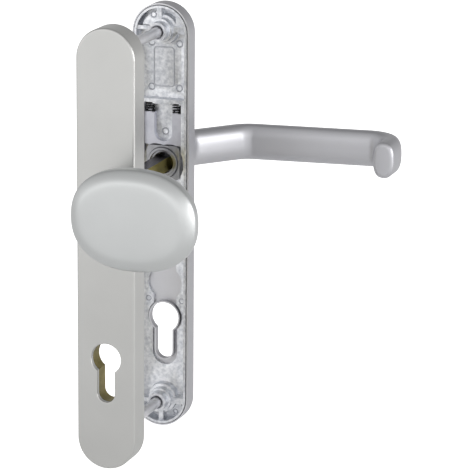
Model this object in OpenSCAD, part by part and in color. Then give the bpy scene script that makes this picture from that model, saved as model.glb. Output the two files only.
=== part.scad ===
// Door furniture set for a narrow-frame door: fixed cranked knob outside, lever handle inside.
// Millimetres. +X to the right seen from outside, +Y through the door into the room, +Z up.
// The origin is where the spindle axis crosses the plane of the door's outside face.

/* [Plates] */
// Width of both plates
plate_w = 34; // [30:0.5:44]
// Height of both plates
plate_h = 248; // [230:1:290]
// Distance from the spindle axis up to the top end of the plates
plate_top = 92.5; // [86:0.5:110]
// Thickness of the outside plate
outer_t = 14.5; // [13:0.5:18]
// Thickness of the inside plate
inner_t = 11.5; // [10.5:0.5:16]
// Door thickness, which is the distance between the plates
door_t = 68; // [60:1:95]
// Rounding of the outside plate's front edge
outer_edge_r = 1.2; // [0.6:0.1:2]
// Rounding of the inside plate's front edge
inner_edge_r = 1.2; // [0.6:0.1:1.4]

/* [Euro profile cut-out] */
// Distance from the spindle axis down to the cylinder's centre
cyl_distance = 92; // [88:1:94]
// Diameter of the round part of the cut-out
cyl_d = 17.4; // [17:0.1:18]
// Width of the slot of the cut-out
cyl_slot_w = 10.2; // [10:0.1:10.6]
// Height of the whole cut-out
cyl_h = 33.6; // [33:0.1:34.5]
// Rounding of the cut-out's lip
lip_r = 0.5; // [0.3:0.1:0.8]

/* [Outside plate] */
// Wall of the outside cover along its sides
outer_wall = 2.2; // [1.6:0.1:2.8]
// Thickness of the outside cover's face
outer_face_t = 2.6; // [2:0.1:3.2]
// Height of the pads that the steel plate rests on
pad_t = 0.9; // [0.6:0.1:1.4]
// Thickness of the steel reinforcing plate
steel_t = 9; // [8:0.1:9.4]
// Outer diameter of the threaded sleeves
post_d = 10; // [9:0.5:11]
// Length of the threaded sleeves inside the door
post_len = 12; // [8:1:20]
// Diameter of the sleeves' collars
post_collar_d = 14; // [13:0.5:16]

/* [Knob] */
// Projection of the knob from the plate's face
knob_projection = 50; // [46:1:60]
// Sideways offset of the knob's head
knob_crank = 33.6; // [25:0.2:42]
// Greatest width of the knob's head
knob_w = 70.4; // [60:0.2:76]
// Greatest height of the knob's head
knob_h = 55; // [46:0.5:60]
// Width of the sloping band between the head's face and its widest section
knob_band = 4.4; // [3:0.2:6]
// Depth of that band
knob_round = 5; // [4:0.5:8]
// Length over which the head keeps its widest section
knob_side = 3; // [1:0.5:8]
// Crown of the head's front face
knob_crown = 1; // [0.5:0.1:2]
// Diameter of the knob's foot on the plate
knob_foot_d = 25; // [23:0.5:28]
// Thread diameter of the screw that holds the knob
knob_screw_d = 8; // [6:1:8]

/* [Lever] */
// Distance from the inside plate's face to the first bend
lever_neck = 33.5; // [28:0.5:40]
// Sideways reach of the slanted stretch
lever_slant_x = 24.5; // [20:0.5:30]
// Outward reach of the slanted stretch
lever_slant_y = 30; // [24:0.5:34]
// Distance from the spindle axis to the centre of the returned end
lever_reach = 115.3; // [100:0.5:130]
// How much further out the grip's far end lies than its near end
lever_rise = 10.5; // [0:0.5:12]
// Length that the end returns towards the door
lever_return = 31; // [22:0.5:34]
// Height of the grip's section
grip_h = 21; // [18:0.5:24]
// Depth of the grip's section
grip_d = 12.6; // [11:0.2:15]
// Diameter of the lever's round neck at the plate
neck_d = 21; // [19:0.5:23]
// Turn of the lever from rest to its stop
lever_travel = 40; // [30:1:45]

/* [Mechanism] */
// Side of the square spindle
spindle_w = 8; // [8:0.5:9]
// Length of the spindle in the door
spindle_len = 54; // [45:1:60]
// Outer diameter of the hub's collar
hub_collar_d = 17.8; // [17.4:0.2:18.6]
// Diameter of the hub's bearing tube
hub_tube_d = 16; // [15:0.5:16.5]
// Width of the hub's square flange
flange_w = 20; // [19.6:0.2:20.4]
// Corner rounding of the square flange
flange_r = 3; // [2.8:0.1:3.4]
// Outer diameter of the return springs
spring_d = 5.3; // [5:0.1:5.4]
// Wire of the return springs
spring_wire = 0.75; // [0.6:0.05:0.8]
// Turns of each return spring
spring_turns = 5; // [4:1:5]
// Length of the return springs at rest
spring_len = 7.6; // [7.4:0.1:7.8]
// Distance of the springs' axes from the middle
spring_x = 8; // [7.8:0.1:8.4]

/* [Screws] */
// Thread diameter of the two fixing screws
screw_d = 6; // [5:0.5:6]
// Distance of the fixing screws from the plates' ends
screw_inset = 15.5; // [14:0.5:18]
// Head diameter of the fixing screws
screw_head_d = 10; // [9:0.5:10.5]

/* [Inside plate] */
// Wall of the inside cover along its sides
cover_wall = 0.8; // [0.7:0.1:0.9]
// Thickness of the inside cover's face
cover_face_t = 1; // [0.9:0.1:1.4]
// Gap between the cover and the casting's rim along its front
rim_gap = 0.45; // [0.3:0.05:0.5]
// Thickness of the casting's rim
rim_t = 1.6; // [1.4:0.1:1.7]
// Thickness of the casting's floor
floor_t = 1.9; // [1.7:0.1:2.1]
// Thickness of the casting's ribs
rib_t = 2.8; // [2:0.1:3.6]
// Outer diameter of the screw bosses at their tips
boss_d = 11; // [10:0.5:12]
// Distance that the bosses reach into the door
boss_reach = 5.5; // [4:0.5:8]

/* [Fits] */
// Radial clearance of running and sliding fits
run_fit = 0.06; // [0.02:0.01:0.1]
// Clearance between pieces that are assembled without touching
play = 0.15; // [0.1:0.05:0.3]
// Radial clearance of screws in plain holes
screw_fit = 0.2; // [0.15:0.05:0.3]

/* [Hidden] */
$fn = 64;
eps = 0.01;

// Heights
plate_bottom = plate_top - plate_h;
cyl_z = -cyl_distance;
cyl_bottom = cyl_z + cyl_d / 2 - cyl_h;
upper_z = plate_top - screw_inset;
lower_z = plate_bottom + screw_inset;

// Outside plate, front to back
face_y = -outer_t;
steel_front_y = face_y + outer_face_t + pad_t;
steel_back_y = steel_front_y + steel_t;
spigot_d = 2 * knob_screw_d;
spigot_depth = 0.28 * steel_t;
web_t = 0.28 * steel_t;
washer_t = 1.2;
knob_washer_y = steel_front_y + spigot_depth + web_t;
knob_head_h = -knob_washer_y - washer_t - 0.3;
knob_thread_len = 20;
pin_d = 3;
pin_z = (spigot_d + knob_foot_d) / 4;
pad_edge = 1;
pad_h = 8;

// Knob head
head_front_y = face_y - knob_projection;
head_max_y = head_front_y + knob_crown + knob_round;
head_back_y = head_max_y + knob_side;
foot_h = 4;
crank_start_y = face_y - foot_h;

// Inside plate, door side to room side
in_face_y = door_t + inner_t;
base_top_y = in_face_y - cover_face_t - play;
floor_y = base_top_y - floor_t;
rim_step = 4;
collar_t = 0.8;
collar_y = in_face_y - 4.5;

// Hub flange and return slide, which lie on the casting's floor
hub_y = floor_y - 5.35;
flange_y = floor_y - 3.85;
flange_t = floor_y - flange_y - play;
recess_d = 2 * (sqrt(2) * (flange_w / 2 - flange_r) + flange_r) + 0.6;
slide_w = 22.8;
half_slide = slide_w / 2 + play;
slide_z = flange_w / 2 + play;
slide_y = floor_y - 3.45;
slide_back_y = floor_y - play;
slide_lift = sqrt(2) * (flange_w / 2 - flange_r) * cos(45 - lever_travel) + flange_r - flange_w / 2 - 0.1;
echo(slide_lift = slide_lift);
bridge_t = 2.3;
arm_x = 5.3;
arm_top_z = 29;
relief_rise = 0.7;
relief_span = 1.127 * (flange_w / 2 - flange_r);

// Springs, with the bar above them and the rails beside them
spring_y = floor_y - spring_d / 2 - 0.2;
spring_top_z = arm_top_z + spring_len;
tab_w = 2;
tab_t = 1.8;
tab_h = 2.2;
pocket_d = spring_d + 0.3;
bar_y = spring_y - pocket_d / 2 - 0.4;
bar_z = spring_top_z - 2.1;
bar_top_z = spring_top_z + 0.7;
bar_notch_w = 4.8;
bar_notch_h = 0.7;
rail_y = bar_y + 0.3;
rail_bottom_z = -14;

// Ends of the casting
rib_y = door_t + 0.3;
low_rib_y = door_t + 1;
shelf_y = door_t + 2.4;
step_y = door_t + 3.5;
upper_rib_x = 0.8;
upper_shelf_top = 2.5;
upper_shelf_h = 4.5;
side_rib_h = 2.2;
lower_shelf_h = 3.4;
pocket_w = 6.5;
crescent_w = 2.2;
disc_d = 6.4;
disc_t = 2.5;
disc_x = 8.4;
disc_z = 5.2;

// Slanting slot by the upper boss and slanting rib by the lower one
slant_turn = 35;
slot_w = 1.4;
slot_len = 8;
slot_depth = 1.5;
slot_x = 6.3;
slot_z = -3.3;
slant_rib_w = 1.2;
slant_rib_x = 6.3;
slant_rib_z = -2.6;

// Round marks of ejector pins
mark_depth = 0.3;
ejector_d = 3.6;
ejector_marks = [[8.3, 68.5], [-8.3, 43], [8.3, 43], [-10.2, -82], [10.2, -82]];
middle_mark_d = 4.6;
middle_mark_z = 17.6;
end_mark = [-6, 8.5];

// Row of cut-outs for cylinders at other distances
cut_out_count = 3;
cut_out_step = 20;
cut_out_d = 20.6;
cut_out_neck_w = 13.7;
cut_out_slot_w = cyl_slot_w + 4.8;
cut_out_bottom = cyl_bottom - 4;

// Hub, clip, bush and lever neck
hub_bore_d = 15;
hub_bore_depth = 1.4;
hub_deep_bore_d = 12.4;
hub_deep_bore = 8;
hub_groove_w = 0.35;
square_hole = spindle_w + 2 * run_fit;
clip_t = 0.8;
clip_play = 0.05;
clip_y = base_top_y - clip_t - clip_play;
clip_d = hub_tube_d + 5;
clip_groove_d = hub_tube_d - 1.6;
bush_t = 0.8;
bush_d = hub_tube_d + 3;
bush_flange_d = neck_d + 1.6;
lever_y = in_face_y + bush_t + play;
socket_depth = 4;
hub_end_y = lever_y + socket_depth - 0.3;
spindle_front_y = door_t - spindle_len;
spindle_back_y = lever_y + 22;
grub_d = 5;
grub_y = lever_y + 11;

// Screws
screw_head_h = 3.4;
screw_washer_t = 1;
head_room = 0.4;
head_seat_y = base_top_y - screw_head_h - screw_washer_t - head_room;
screw_tip_y = 2;
boss_y = door_t - boss_reach;
boss_mouth_d = screw_d + 1.2;
boss_mouth_depth = 3.5;
boss_chamfer = 0.6;
boss_step_d = boss_d + 2.6;
boss_step_y = door_t;
boss_foot_d = boss_d + 6;
boss_foot_y = door_t + 4;
boss_draft = 1.2;

// ---------------------------------------------------------------- shared shapes

// Puts a flat shape, drawn in X and Z, between two depths
module along_y(y0, y1) {
    translate([0, y1, 0])
        rotate([90, 0, 0])
            linear_extrude(y1 - y0)
                children();
}

// A round bar or hole along Y
module rod_y(d, y0, y1, x = 0, z = 0) {
    translate([x, y1, z])
        rotate([90, 0, 0])
            cylinder(d = d, h = y1 - y0);
}

// The plates' outline with semicircular ends, drawn inwards by an inset
module plate_outline(inset = 0) {
    w = plate_w - 2 * inset;
    for (z = [plate_top, plate_bottom])
        translate([0, z + (z > 0 ? -1 : 1) * plate_w / 2])
            circle(d = w, $fn = 96);
    translate([-w / 2, plate_bottom + plate_w / 2])
        square([w, plate_h - plate_w]);
}

// Half a plate's section: radius against depth, with its front edge rounded
module half_section(half_w, depth, edge) {
    square([half_w - edge, depth]);
    square([half_w, depth - edge]);
    translate([half_w - edge, depth - edge])
        intersection() {
            circle(r = edge);
            square(edge);
        }
}

// A plate with a rounded front edge, its back in the plane Y = 0 and its front towards -Y
module rounded_plate(depth, edge) {
    half_w = plate_w / 2;
    straight = plate_h - plate_w;
    rotate([90, 0, 0]) {
        translate([0, plate_top - half_w, 0])
            rotate_extrude(angle = 180, $fn = 96)
                half_section(half_w, depth, edge);
        translate([0, plate_bottom + half_w, 0])
            rotate([0, 0, 180])
                rotate_extrude(angle = 180, $fn = 96)
                    half_section(half_w, depth, edge);
        translate([0, plate_top - half_w, 0])
            rotate([90, 0, 0])
                linear_extrude(straight) {
                    half_section(half_w, depth, edge);
                    mirror([1, 0])
                        half_section(half_w, depth, edge);
                }
    }
}

// The euro profile, drawn larger by a margin
module euro_outline(margin = 0) {
    slot_r = cyl_slot_w / 2;
    translate([0, cyl_z])
        circle(d = cyl_d + 2 * margin);
    translate([0, cyl_bottom + slot_r])
        circle(r = slot_r + margin);
    translate([-slot_r - margin, cyl_bottom + slot_r])
        square([cyl_slot_w + 2 * margin, cyl_z - cyl_bottom - slot_r]);
}

// Section of what a rounded lip takes away outside a cut-out of a given half width
module lip_section(half_w) {
    difference() {
        square([half_w + lip_r, lip_r]);
        translate([half_w + lip_r, lip_r])
            circle(r = lip_r, $fn = 48);
    }
}

// The rounded lip of the euro cut-out, with its face in the plane Y = 0, cutting towards +Y
module euro_lip() {
    slot_r = cyl_slot_w / 2;
    rotate([-90, 0, 0]) {
        translate([0, -cyl_z, 0])
            rotate_extrude()
                lip_section(cyl_d / 2);
        translate([0, -cyl_bottom - slot_r, 0])
            rotate_extrude()
                lip_section(slot_r);
        translate([0, -cyl_z, 0])
            rotate([-90, 0, 0])
                mirror([0, 1, 0])
                    linear_extrude(cyl_z - cyl_bottom - slot_r) {
                        lip_section(slot_r);
                        mirror([1, 0])
                            lip_section(slot_r);
                    }
    }
}

// A ring with a gap, as a spring clip is
module ring_y(outer_d, inner_d, y0, y1) {
    difference() {
        rod_y(outer_d, y0, y1);
        rod_y(inner_d, y0 - 1, y1 + 1);
    }
}

// ---------------------------------------------------------------- outside plate

module outer_cover() {
    color("silver")
        difference() {
            union() {
                difference() {
                    rounded_plate(outer_t, outer_edge_r);
                    along_y(face_y + outer_face_t, 1)
                        plate_outline(outer_wall);
                }
                // pads that the steel plate is drawn against
                along_y(face_y + outer_face_t - eps, steel_front_y)
                    cover_pads();
            }
            along_y(face_y - 1, 1)
                euro_outline();
            translate([0, face_y, 0])
                euro_lip();
            rod_y(spigot_d + 2 * play, face_y - 1, 1);
            rod_y(pin_d + 2 * play, face_y - 1, 1, 0, pin_z);
        }
}

module cover_pads() {
    pad_w = plate_w - 2 * outer_wall - 2 * pad_edge;
    circle(d = knob_foot_d);
    for (z = [upper_z, lower_z, cyl_z + cyl_d + pad_h])
        translate([-pad_w / 2, z - pad_h / 2])
            square([pad_w, pad_h]);
}

module reinforcing_plate() {
    color("darkkhaki")
        difference() {
            along_y(steel_front_y, steel_back_y)
                plate_outline(outer_wall + play);
            along_y(steel_front_y - 1, steel_back_y + 1)
                euro_outline(0.3);
            rod_y(spigot_d + 2 * run_fit, steel_front_y - 1, steel_front_y + spigot_depth);
            rod_y(knob_screw_d + 2 * screw_fit, steel_front_y, steel_back_y);
            rod_y(spigot_d + 2, knob_washer_y, steel_back_y + 1);
            rod_y(pin_d + 2 * run_fit, steel_front_y - 1, steel_back_y - 3, 0, pin_z);
            for (z = [upper_z, lower_z])
                rod_y(post_d + 2 * run_fit, steel_front_y - 1, steel_back_y + 1, 0, z);
        }
}

// A threaded sleeve with a collar between the steel plate and the door
module post(z) {
    color("gainsboro")
        difference() {
            union() {
                rod_y(post_d, steel_front_y + 0.5, post_len, 0, z);
                rod_y(post_collar_d, steel_back_y, 0, 0, z);
            }
            rod_y(screw_d + 2 * run_fit, steel_front_y, post_len + 1, 0, z);
        }
}

module upper_post() {
    post(upper_z);
}

module lower_post() {
    post(lower_z);
}

// ---------------------------------------------------------------- knob

// Smooth step from 0 to 1
function smooth(t) = let (u = max(0, min(1, t))) u * u * (3 - 2 * u);

// A point of an oval whose sides are a little fuller than an ellipse's
function oval_point(a, half_w, half_h, power) = [
    half_w * sign(cos(a)) * pow(abs(cos(a)), 2 / power),
    half_h * sign(sin(a)) * pow(abs(sin(a)), 2 / power)
];

oval_steps = 44;
knob_power = 2.3;
neck_rings = 16;
neck_swell = 1.15;
front_rings = 6;
band_turn = 68;

// One ring of the knob at a depth, round its own centre
function knob_ring(y, x, half_w, half_h, power) = [
    for (i = [0 : oval_steps - 1])
        let (p = oval_point(360 * i / oval_steps, half_w, half_h, power)) [x + p[0], y, p[1]]
];

// The neck swells and swings sideways from the foot to the head's widest section
function neck_ring(t) =
    let (
        y = crank_start_y + t * (head_back_y - crank_start_y),
        swing = smooth(t),
        swell = pow(smooth(t), neck_swell),
        foot_r = knob_foot_d / 2 - 1.5,
        half_w = foot_r + swell * (knob_w / 2 - foot_r),
        half_h = foot_r + swell * (knob_h / 2 - foot_r)
    )
    knob_ring(y, swing * knob_crank, half_w, half_h, 2 + swell * (knob_power - 2));

// A convex band leads from the widest section to the face, which it meets in a soft crease
function front_ring(a) =
    let (inset = knob_band * (1 - cos(a)) / (1 - cos(band_turn)))
    knob_ring(
        head_max_y - knob_round * sin(a) / sin(band_turn), knob_crank,
        knob_w / 2 - inset, knob_h / 2 - 0.8 * inset, knob_power
    );

function crown_ring(t) =
    knob_ring(
        head_front_y + knob_crown * t * t, knob_crank,
        t * (knob_w / 2 - knob_band), t * (knob_h / 2 - 0.8 * knob_band), knob_power
    );

// Joins rings of equal length into a closed solid
module loft(rings, flip = false) {
    n = len(rings[0]);
    last = len(rings) - 1;
    points = [for (ring = rings) each ring];
    sides = [
        for (j = [0 : last - 1])
            for (i = [0 : n - 1])
                let (a = j * n + i, b = j * n + (i + 1) % n) each [[a, b, b + n], [a, b + n, a + n]]
    ];
    start_cap = [for (i = [n - 1 : -1 : 0]) i];
    end_cap = [for (i = [0 : n - 1]) last * n + i];
    faces = concat(sides, [start_cap], [end_cap]);
    polyhedron(points, flip ? faces : [for (f = faces) [for (i = [len(f) - 1 : -1 : 0]) f[i]]]);
}

module knob() {
    rings = concat(
        [for (j = [0 : neck_rings]) neck_ring(j / neck_rings)],
        [for (j = [0 : front_rings]) front_ring(band_turn * j / front_rings)],
        [crown_ring(0.7), crown_ring(0.35)]
    );
    color("silver")
        difference() {
            union() {
                loft(rings);
                rod_y(knob_foot_d, crank_start_y - 0.5, face_y);
                rod_y(spigot_d, face_y - 1, steel_front_y + spigot_depth - play);
            }
            rod_y(knob_screw_d, steel_front_y - knob_thread_len, 0);
            rod_y(pin_d + 2 * run_fit, face_y - 3, 0, 0, pin_z);
        }
}

module knob_screw() {
    head_y = knob_washer_y + washer_t;
    color("gray")
        difference() {
            union() {
                rod_y(knob_screw_d - 2 * run_fit, steel_front_y - knob_thread_len + 2, head_y + 1);
                rod_y(1.65 * knob_screw_d, head_y, head_y + knob_head_h);
            }
            along_y(head_y + 0.35 * knob_head_h, 1)
                circle(d = 0.7 * knob_screw_d, $fn = 6);
        }
}

module knob_washer() {
    color("gainsboro")
        ring_y(2.1 * knob_screw_d, knob_screw_d + 2 * screw_fit, knob_washer_y, knob_washer_y + washer_t);
}

module knob_pin() {
    color("gray")
        rod_y(pin_d, face_y - 3 + play, steel_back_y - 3 - play, 0, pin_z);
}

// ---------------------------------------------------------------- inside plate

module inner_cover() {
    color("silver")
        difference() {
            translate([0, in_face_y, 0])
                mirror([0, 1, 0])
                    translate([0, inner_t - 0.5, 0])
                        rounded_plate(inner_t - 0.5, inner_edge_r);
            difference() {
                along_y(door_t - 1, in_face_y - cover_face_t)
                    plate_outline(cover_wall);
                // turned-in collar round the cylinder
                along_y(collar_y, in_face_y)
                    euro_outline(collar_t);
            }
            along_y(door_t, in_face_y + 1)
                euro_outline();
            translate([0, in_face_y, 0])
                mirror([0, 1, 0])
                    euro_lip();
            rod_y(bush_d + 2 * run_fit, door_t, in_face_y + 1);
        }
}

// A stepped boss for a fixing screw: mouth towards the door, head seat towards the room
module boss_solid(z) {
    boss_cone(boss_d, boss_y, z);
    boss_cone(boss_step_d, boss_step_y, z);
    boss_cone(boss_foot_d, boss_foot_y, z);
}

// One step of a boss, which widens a little towards its foot as castings do
module boss_cone(d, y, z) {
    translate([0, base_top_y, z])
        rotate([90, 0, 0])
            cylinder(d1 = d + boss_draft, d2 = d, h = base_top_y - y);
}

module boss_holes(z) {
    rod_y(screw_d + 2 * screw_fit, boss_y - 1, base_top_y + 1, 0, z);
    rod_y(boss_mouth_d, boss_y - 1, boss_y + boss_mouth_depth, 0, z);
    translate([0, boss_y + boss_chamfer, z])
        rotate([90, 0, 0])
            cylinder(d1 = boss_mouth_d, d2 = boss_mouth_d + 2 * boss_chamfer, h = boss_chamfer + eps);
    rod_y(screw_head_d + 1, head_seat_y, base_top_y + 1, 0, z);
}

// The cut-outs for cylinders at the usual distances, as the casting has them
module base_cut_outs() {
    for (i = [0 : cut_out_count - 1])
        translate([0, cyl_z + i * cut_out_step])
            circle(d = cut_out_d);
    translate([-cut_out_neck_w / 2, cyl_z])
        square([cut_out_neck_w, (cut_out_count - 1) * cut_out_step]);
    translate([-cut_out_slot_w / 2, cut_out_bottom + cut_out_slot_w / 2])
        square([cut_out_slot_w, cyl_z - cut_out_bottom - cut_out_slot_w / 2]);
    translate([0, cut_out_bottom + cut_out_slot_w / 2])
        circle(d = cut_out_slot_w);
}

// A block of the casting from a depth down to its floor, kept inside an inset of the outline
module patch(x0, x1, z0, z1, y, inset = cover_wall + rim_gap) {
    along_y(y, floor_y + eps)
        intersection() {
            plate_outline(inset);
            translate([x0, z0])
                square([x1 - x0, z1 - z0]);
        }
}

// Bar above the springs and rails beside the slide, with the recess for the flange's corners
module mechanism_walls() {
    difference() {
        union() {
            patch(-plate_w / 2, plate_w / 2, rail_bottom_z, bar_top_z, rail_y);
            patch(-half_slide, half_slide, bar_z, bar_top_z, bar_y);
        }
        translate([-half_slide, bar_y - 1, rail_bottom_z - 1])
            cube([2 * half_slide, floor_y - bar_y + 1, bar_z - rail_bottom_z + 1]);
        rod_y(recess_d, bar_y - 1, floor_y);
        for (s = [-1, 1]) {
            translate([s * spring_x - bar_notch_w / 2, bar_y - 1, bar_z - eps])
                cube([bar_notch_w, floor_y - bar_y + 1, bar_notch_h]);
            translate([s * spring_x, spring_y, arm_top_z])
                cylinder(d = pocket_d, h = spring_len + eps);
        }
    }
}

// A slanting bar with its middle at a place
module slanting(x, z, w, y0, y1) {
    translate([x, 0, z])
        rotate([0, -slant_turn, 0])
            translate([-slot_len / 2, y0, -w / 2])
                cube([slot_len, y1 - y0, w]);
}

// Rib, plateaus and shelf round the upper boss
module upper_end() {
    side = plate_w / 2;
    shelf_z = upper_z + upper_shelf_top;
    patch(-upper_rib_x - rib_t / 2, rib_t / 2 - upper_rib_x, upper_z, plate_top, rib_y);
    patch(-side, -upper_rib_x, shelf_z, plate_top, shelf_y, cover_wall + play + rim_t + crescent_w);
    patch(rib_t / 2 + pocket_w, side, shelf_z, plate_top, step_y);
    patch(0, side, shelf_z - upper_shelf_h, shelf_z, shelf_y);
    patch(-side, 0, upper_z, upper_z + side_rib_h, low_rib_y);
}

// Ribs, shelf and disc round the lower boss
module lower_end() {
    side = plate_w / 2;
    patch(-rib_t / 2, rib_t / 2, plate_bottom, lower_z, shelf_y);
    patch(-side, 0, lower_z - side_rib_h, lower_z, low_rib_y);
    patch(0, side, lower_z - lower_shelf_h / 2, lower_z + lower_shelf_h / 2, low_rib_y);
    slanting(slant_rib_x, lower_z + slant_rib_z, slant_rib_w, shelf_y, floor_y + eps);
    rod_y(disc_d, floor_y - disc_t, floor_y + eps, disc_x, lower_z - disc_z);
}

module ejector_dimples() {
    for (place = ejector_marks)
        rod_y(ejector_d, floor_y - mark_depth, floor_y + mark_depth, place[0], place[1]);
    rod_y(ejector_d, shelf_y - 1, shelf_y + mark_depth, end_mark[0], upper_z + end_mark[1]);
    rod_y(middle_mark_d, floor_y - mark_depth, floor_y + mark_depth, 0, middle_mark_z);
}

// Rim and floor, with the rim drawn in along its front
module base_shell() {
    difference() {
        union() {
            along_y(door_t, door_t + rim_step)
                plate_outline(cover_wall + rim_gap);
            along_y(door_t + rim_step - eps, base_top_y)
                plate_outline(cover_wall + play);
        }
        along_y(door_t - 1, floor_y)
            plate_outline(cover_wall + play + rim_t);
    }
}

// A shallow tray whose rim faces the door
module inner_base() {
    color("lightgray")
        difference() {
            union() {
                base_shell();
                mechanism_walls();
                upper_end();
                lower_end();
                boss_solid(upper_z);
                boss_solid(lower_z);
            }
            boss_holes(upper_z);
            boss_holes(lower_z);
            ejector_dimples();
            slanting(slot_x, upper_z + slot_z, slot_w, shelf_y, boss_foot_y + slot_depth);
            along_y(boss_y, base_top_y + 1)
                base_cut_outs();
            // bearing of the hub, and the seat of its clip
            rod_y(hub_tube_d + 2 * run_fit, floor_y - 1, base_top_y + 1);
            rod_y(clip_d + 2 * play, clip_y - clip_play, base_top_y + 1);
        }
}

module washer_at(z) {
    color("gainsboro")
        difference() {
            rod_y(screw_head_d + 0.4, head_seat_y, head_seat_y + screw_washer_t, 0, z);
            rod_y(screw_d + 2 * screw_fit, head_seat_y - 1, head_seat_y + screw_washer_t + 1, 0, z);
        }
}

module upper_washer() {
    washer_at(upper_z);
}

module lower_washer() {
    washer_at(lower_z);
}

// A fixing screw: low head with a hexagon socket under the cover, shank through the door
module fixing_screw(z) {
    head_y = head_seat_y + screw_washer_t;
    color("whitesmoke")
        difference() {
            union() {
                rod_y(screw_d, screw_tip_y, head_y + 1, 0, z);
                rod_y(screw_head_d, head_y, head_y + screw_head_h, 0, z);
            }
            translate([0, 0, z])
                along_y(head_y + 0.35 * screw_head_h, head_y + screw_head_h + 1)
                    circle(d = 0.75 * screw_d, $fn = 6);
        }
}

module upper_screw() {
    fixing_screw(upper_z);
}

module lower_screw() {
    fixing_screw(lower_z);
}

module lever_bush() {
    color("dimgray")
        difference() {
            union() {
                rod_y(bush_d, in_face_y - cover_face_t, in_face_y + bush_t);
                rod_y(bush_flange_d, in_face_y, in_face_y + bush_t);
            }
            rod_y(hub_tube_d + 2 * run_fit, in_face_y - cover_face_t - 1, in_face_y + bush_t + 1);
        }
}

// ---------------------------------------------------------------- return mechanism

wire_sides = 6;
turn_rings = 8;

// A point on the centre line of a spring, at a number of turns from its lower end
function coil_point(turn) =
    let (r = (spring_d - spring_wire) / 2, rise = spring_len - spring_wire)
    [r * cos(360 * turn), r * sin(360 * turn), spring_wire / 2 + rise * turn / spring_turns];

function coil_ring(turn) =
    let (c = coil_point(turn), out = [cos(360 * turn), sin(360 * turn), 0])
    [
        for (k = [0 : wire_sides - 1])
            let (a = 360 * k / wire_sides)
                c + spring_wire / 2 * (cos(a) * out + sin(a) * [0, 0, 1])
    ];

function coil_gap() = min([
    for (i = [0 : turn_rings * (spring_turns - 1)])
        norm(coil_point(i / turn_rings + 1) - coil_point(i / turn_rings))
]) - spring_wire;
echo(least_gap_between_turns = coil_gap());

module spring(side) {
    color("#222222")
        translate([side * spring_x, spring_y, arm_top_z])
            loft([for (i = [0 : turn_rings * spring_turns]) coil_ring(i / turn_rings)]);
}

module left_spring() {
    spring(-1);
}

module right_spring() {
    spring(1);
}

// The U-shaped slide that the springs press on the hub's flange
module return_slide() {
    color("gainsboro") {
        along_y(slide_y, slide_back_y)
            slide_outline();
        // tabs that hold the springs
        for (s = [-1, 1])
            translate([s * spring_x - tab_w / 2, slide_y, arm_top_z - 1])
                cube([tab_w, tab_t, tab_h + 1]);
    }
}

// Two arms over a bridge, which has shallow arches that let the flange's corners swing past
module slide_outline() {
    half_w = slide_w / 2;
    relief_r = (relief_span * relief_span / 4 + relief_rise * relief_rise) / (2 * relief_rise);
    notch_z = slide_z + bridge_t + arm_x;
    difference() {
        translate([-half_w, slide_z])
            square([slide_w, arm_top_z - slide_z]);
        translate([0, notch_z])
            circle(r = arm_x);
        translate([-arm_x, notch_z])
            square([2 * arm_x, arm_top_z]);
        for (s = [-1, 1])
            translate([s * relief_span / 2, slide_z + relief_rise - relief_r])
                circle(r = relief_r, $fn = 96);
    }
}

module hub() {
    color("lightgray")
        difference() {
            union() {
                rod_y(hub_collar_d, hub_y, flange_y + 1);
                along_y(flange_y, flange_y + flange_t)
                    flange_outline();
                rod_y(hub_tube_d, flange_y, hub_end_y);
            }
            ring_y(hub_collar_d + 2 * hub_groove_w, hub_collar_d, flange_y - 1, flange_y + 2 * hub_groove_w);
            rod_y(hub_bore_d, hub_y - 1, hub_y + hub_bore_depth);
            rod_y(hub_deep_bore_d, hub_y, hub_y + hub_deep_bore);
            translate([-square_hole / 2, hub_y, -square_hole / 2])
                cube([square_hole, hub_end_y, square_hole]);
            ring_y(hub_tube_d + 2, clip_groove_d, clip_y - clip_play, clip_y + clip_t + clip_play);
        }
}

module flange_outline() {
    straight = flange_w - 2 * flange_r;
    square([flange_w, straight], center = true);
    square([straight, flange_w], center = true);
    for (x = [-1, 1])
        for (z = [-1, 1])
            translate([x, z] * straight / 2)
                circle(r = flange_r);
}

module hub_clip() {
    gap = 5;
    color("gray")
        difference() {
            ring_y(clip_d, clip_groove_d + 0.1, clip_y, clip_y + clip_t);
            translate([-gap / 2, clip_y - 1, -clip_d])
                cube([gap, clip_t + 2, clip_d]);
        }
}

module spindle() {
    color("darkkhaki")
        translate([-spindle_w / 2, spindle_front_y, -spindle_w / 2])
            cube([spindle_w, spindle_back_y - spindle_front_y, spindle_w]);
}

module grub_screw() {
    top = -spindle_w / 2 - 0.05;
    len = neck_d / 2 - spindle_w / 2 - 0.8;
    color("dimgray")
        translate([0, grub_y, top - len])
            difference() {
                cylinder(d = grub_d - 2 * run_fit, h = len);
                translate([0, 0, -1])
                    cylinder(d = 0.5 * grub_d, h = 3, $fn = 6);
            }
}

// ---------------------------------------------------------------- lever

lever_bend_r = 14;
grip_bend_r = 16;
end_bend_r = 15;
bend_rings = 8;
end_round = 2.4;
lever_power = 2.6;
lever_steps = 32;
morph_rings = 6;

bend_y = in_face_y + lever_neck;
elbow = [lever_slant_x, bend_y + lever_slant_y];
corner = [lever_reach, elbow[1] + lever_rise];
tip = [lever_reach, corner[1] - lever_return];

function unit(v) = v / norm(v);

// Points of the arc that rounds the corner at b on the way from a to c
function rounded_corner(a, b, c, r, n) =
    let (
        u = unit(a - b),
        v = unit(c - b),
        half = acos(u * v) / 2,
        centre = b + unit(u + v) * r / sin(half),
        start = b + u * r / tan(half) - centre,
        turn = (u[0] * v[1] - u[1] * v[0] > 0 ? -1 : 1) * (180 - 2 * half),
        a0 = atan2(start[1], start[0])
    )
    [for (i = [0 : n]) centre + r * [cos(a0 + turn * i / n), sin(a0 + turn * i / n)]];

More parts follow.
